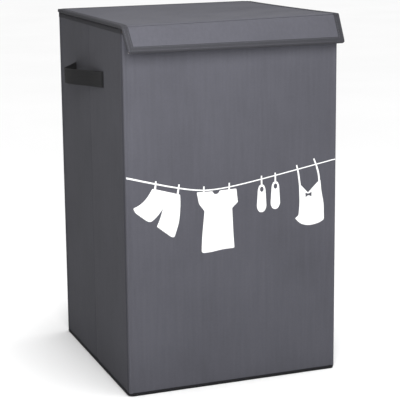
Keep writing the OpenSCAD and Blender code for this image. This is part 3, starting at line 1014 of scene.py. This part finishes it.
def ink(name, shapes, node):
    """A printed shape lying on the cover; each shape is (outline, holes)."""
    shells = []
    for outline, holes in shapes:
        outline, holes = settled(outline), [settled(h) for h in holes]
        loops = [outline] + holes
        verts, edges = [], []
        for loop in loops:
            n = len(verts)
            verts += [tuple(p) for p in loop]
            edges += [(n + i, n + (i + 1) % len(loop)) for i in range(len(loop))]
        lo, hi = outline.min(0), outline.max(0)
        gx, gz = np.meshgrid(np.arange(lo[0] + 2, hi[0], 4.0), np.arange(lo[1] + 2, hi[1], 4.0))
        extra = np.stack([gx.ravel(), gz.ravel()], 1)
        if len(extra):
            gap = np.array([min(np.linalg.norm(np.concatenate(loops) - p, axis=1)) for p in extra])
            extra = extra[inside(extra, outline) & (gap > 1.5)]
            verts += [tuple(p) for p in extra]
        made = geometry.delaunay_2d_cdt([Vector(v) for v in verts], edges, [], 0, 1e-5)
        p = np.array([tuple(v) for v in made[0]])
        tri = np.array(made[2])
        mid = p[tri].mean(1)
        ok = inside(mid, outline)
        for hole in holes:
            ok &= ~inside(mid, np.asarray(hole))
        tri = tri[ok]
        depth = front_depth(p[:, 0], p[:, 1])
        top = WALLS["front"](p[:, 0], depth - 0.16, p[:, 1])
        low = WALLS["front"](p[:, 0], depth + 0.06, p[:, 1])
        n = len(p)
        faces = [list(f) for f in tri] + [[v + n for v in f[::-1]] for f in tri]
        count = {}
        for f in tri:
            for q in range(3):
                e = (int(f[q]), int(f[(q + 1) % 3]))
                count[e] = 1
        for (i, j) in count:
            if (j, i) not in count:
                faces.append([i, j, j + n, i + n])
        shells.append((np.concatenate([top, low]), faces))
    points, faces = joined(shells)
    o = mesh_object(name, points, faces, print_ink, 60)
    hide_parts(node)
    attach(o, "front")
    return o


LINE_X0, LINE_Z0 = -38, 315


def line_z(x):
    return LINE_Z0 + np.where(x < LINE_X0, 0.30, 0.178) * (np.sqrt((x - LINE_X0) ** 2 + 1600) - 40)


def brush(points, widths):
    """A drawn stroke of changing width."""
    c = spline([(x, z, 0) for x, z in points], 5)[:, :2]
    w = np.interp(np.linspace(0, 1, len(c)), np.linspace(0, 1, len(widths)), widths) / 2
    t = np.gradient(c, axis=0)
    t /= np.linalg.norm(t, axis=1)[:, None]
    n = np.stack([-t[:, 1], t[:, 0]], 1) * w[:, None]
    return np.concatenate([c + n, (c - n)[::-1]])


def disc(x, z, rx, rz, n=24):
    a = np.linspace(0, 2 * math.pi, n, endpoint=False)
    return np.stack([x + rx * np.cos(a), z + rz * np.sin(a)], 1)


cuts = steps(-W + 2, W + 1, 9)
ink("print_clothes_line", [(brush(list(zip(cuts, line_z(cuts))), [2.7, 2.3, 2.0, 1.8, 1.7, 1.7, 1.7]), [])],
    "print_line")

shorts = rounded([(-130, 325, 2), (-86, 312, 1.5), (-85.5, 296, 9), (-88, 269, 10), (-96, 246, 3),
                  (-101, 247, 4), (-124, 265.5, 1.5), (-119, 276, 8), (-113.5, 293, 0.6), (-123, 281, 8),
                  (-133, 273.5, 4), (-139, 275, 4), (-158, 290, 4), (-161, 297, 1.5),
                  (-149, 302, 12), (-139, 311, 10)])
ink("print_shorts_shape", [(shorts, []), (brush([(-124.6, 336), (-126, 323)], [2.4, 3.0]), []),
                           (brush([(-87.4, 328), (-90, 313)], [2.4, 3.0]), [])], "print_shorts")

shirt = rounded([(-59, 313, 1.5), (-33, 312.5, 2), (-32, 309.5, 3), (-27.5, 306.8, 4), (-23, 309.5, 3),
                 (-21.5, 312.8, 2), (6, 313.5, 1.5), (8.5, 292, 1.5), (-1, 283.5, 1.5), (1, 240, 20),
                 (2.5, 219.5, 2), (-16, 219.5, 12), (-38, 216.3, 10), (-52, 216.5, 4),
                 (-51, 240, 15), (-46.5, 282.5, 2), (-55.5, 294.5, 3)])
ink("print_shirt_shape", [(shirt, []), (brush([(-47.2, 321.5), (-47.8, 311)], [2.2, 2.6]), []),
                          (brush([(-5.6, 323.5), (-6, 312)], [2.2, 2.6]), [])], "print_shirt")


def slipper(x, z):
    body = rounded([(x - 6.3, z - 20, 8), (x - 3.4, z - 13.5, 4), (x + 3.4, z - 13.5, 4), (x + 6.3, z - 20, 8),
                    (x + 8.2, z - 50, 8), (x + 4.0, z - 57.6, 8), (x - 4.0, z - 57.6, 8),
                    (x - 8.2, z - 50, 8)], 4, 7)
    return [(body, [disc(x + 0.2, z - 21, 3.1, 4.1)]),
            (brush([(x - 0.3, z + 0.4), (x, z - 15)], [2.2, 2.8]), [])]


ink("print_slipper_pair", slipper(48.4, 329.6) + slipper(71.6, 332.6), "print_slippers")

camisole = rounded([(112, 312, 0.5), (115, 309.5, 1), (127.5, 296.5, 0.6), (146, 314, 1), (149, 315, 0.5),
                    (151, 296, 20), (155, 278, 20), (155.5, 250.5, 2), (148, 246, 12), (130, 242.6, 14),
                    (115, 246.5, 10), (105.5, 256.5, 1), (111.5, 261, 3), (113.2, 280, 20)])
bow_tie = np.array([(123.2, 296.6), (127.2, 294.9), (129.2, 294.9), (133.8, 297.2), (133.6, 289.6),
                    (129.2, 291.8), (127.2, 291.6), (123.4, 289.0)])
ink("print_camisole_shape", [(camisole, [bow_tie]),
                             (brush([(107.8, 342), (110.6, 330), (112.4, 318), (113.6, 309)],
                                    [2.2, 2.8, 3.0]), []),
                             (brush([(137.2, 350), (142, 338), (145.6, 325), (147.2, 311)],
                                    [2.2, 2.8, 3.0]), [])],
    "print_camisole")


# ---- boards that stay as CAD pieces ----

for n in ("back_board", "front_board", "left_rear_board", "left_front_board", "right_rear_board",
          "right_front_board", "base_board"):
    o = frame["nodes"][n]
    if not o.material_slots:
        o.data.materials.append(board_stuff)
    for slot in o.material_slots:
        slot.material = board_stuff


# ---- floor, light and camera ----

def floor_material():
    m, t, bsdf = material("pale_floor")
    at = t.nodes.new("ShaderNodeTexCoord").outputs["Object"]
    t.links.new(ramp(t, noise(t, at, 2.0, 2.0), (0.93, 0.93, 0.93), (0.95, 0.95, 0.95)),
                bsdf.inputs["Base Color"])
    bsdf.inputs["Roughness"].default_value = 0.9
    bsdf.inputs["Specular IOR Level"].default_value = 0.1
    return m


me = bpy.data.meshes.new("floor")
me.from_pydata([(-40, -40, -0.0003), (40, -40, -0.0003), (40, 40, -0.0003), (-40, 40, -0.0003)], [],
               [(0, 1, 2, 3)])
me.materials.append(floor_material())
floor = bpy.data.objects.new("floor", me)
scene.collection.objects.link(floor)
floor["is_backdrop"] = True

world = bpy.data.worlds.new("studio")
world.use_nodes = True
world.node_tree.nodes["Background"].inputs["Color"].default_value = (1, 1, 1, 1)
world.node_tree.nodes["Background"].inputs["Strength"].default_value = 0.24
scene.world = world


def sun(name, towards, strength, softness):
    data = bpy.data.lights.new(name, "SUN")
    data.energy = strength
    data.angle = math.radians(softness)
    o = bpy.data.objects.new(name, data)
    o.rotation_euler = Vector(towards).to_track_quat("Z", "Y").to_euler()
    scene.collection.objects.link(o)


def lamp(name, place, aim, size, power):
    data = bpy.data.lights.new(name, "AREA")
    data.shape, data.size, data.energy = "DISK", size, power
    o = bpy.data.objects.new(name, data)
    o.location = place
    o.rotation_euler = (Vector(place) - Vector(aim)).to_track_quat("Z", "Y").to_euler()
    o.visible_camera = False
    scene.collection.objects.link(o)


sun("top_light", (0.1, -0.1, 1.0), 2.55, 40)
lamp("lid_light", (0.1, 0.1, 1.5), (0.1, 0.1, 0), 0.5, 3.0)
lamp("front_light", (-0.3, -0.85, 0.85), (-0.06, -0.17, 0.95), 0.6, 10.5)

# the camera was fitted to the hamper's corners in the photograph by a scratch script
YAW, PITCH, ROLL = math.radians(-19.374), math.radians(11.023), math.radians(-0.909)
forward = Vector((-math.sin(YAW) * math.cos(PITCH), math.cos(YAW) * math.cos(PITCH), -math.sin(PITCH)))
right = Vector((math.cos(YAW), math.sin(YAW), 0))
up = right.cross(forward)
r = right * math.cos(ROLL) + up * math.sin(ROLL)
u = -right * math.sin(ROLL) + up * math.cos(ROLL)
camera_data = bpy.data.cameras.new("camera")
camera_data.lens = 118.5
camera_data.sensor_width = 36
camera_data.shift_x, camera_data.shift_y = 0.1, -0.1
camera_data.clip_end = 200
camera = bpy.data.objects.new("camera", camera_data)
camera.matrix_world = Matrix(((r.x, u.x, -forward.x, -0.7641), (r.y, u.y, -forward.y, -2.0084),
                              (r.z, u.z, -forward.z, 0.7467), (0, 0, 0, 1)))
scene.collection.objects.link(camera)
scene.camera = camera
scene.view_settings.view_transform = "Standard"

# ---- finish ----

low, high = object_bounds()
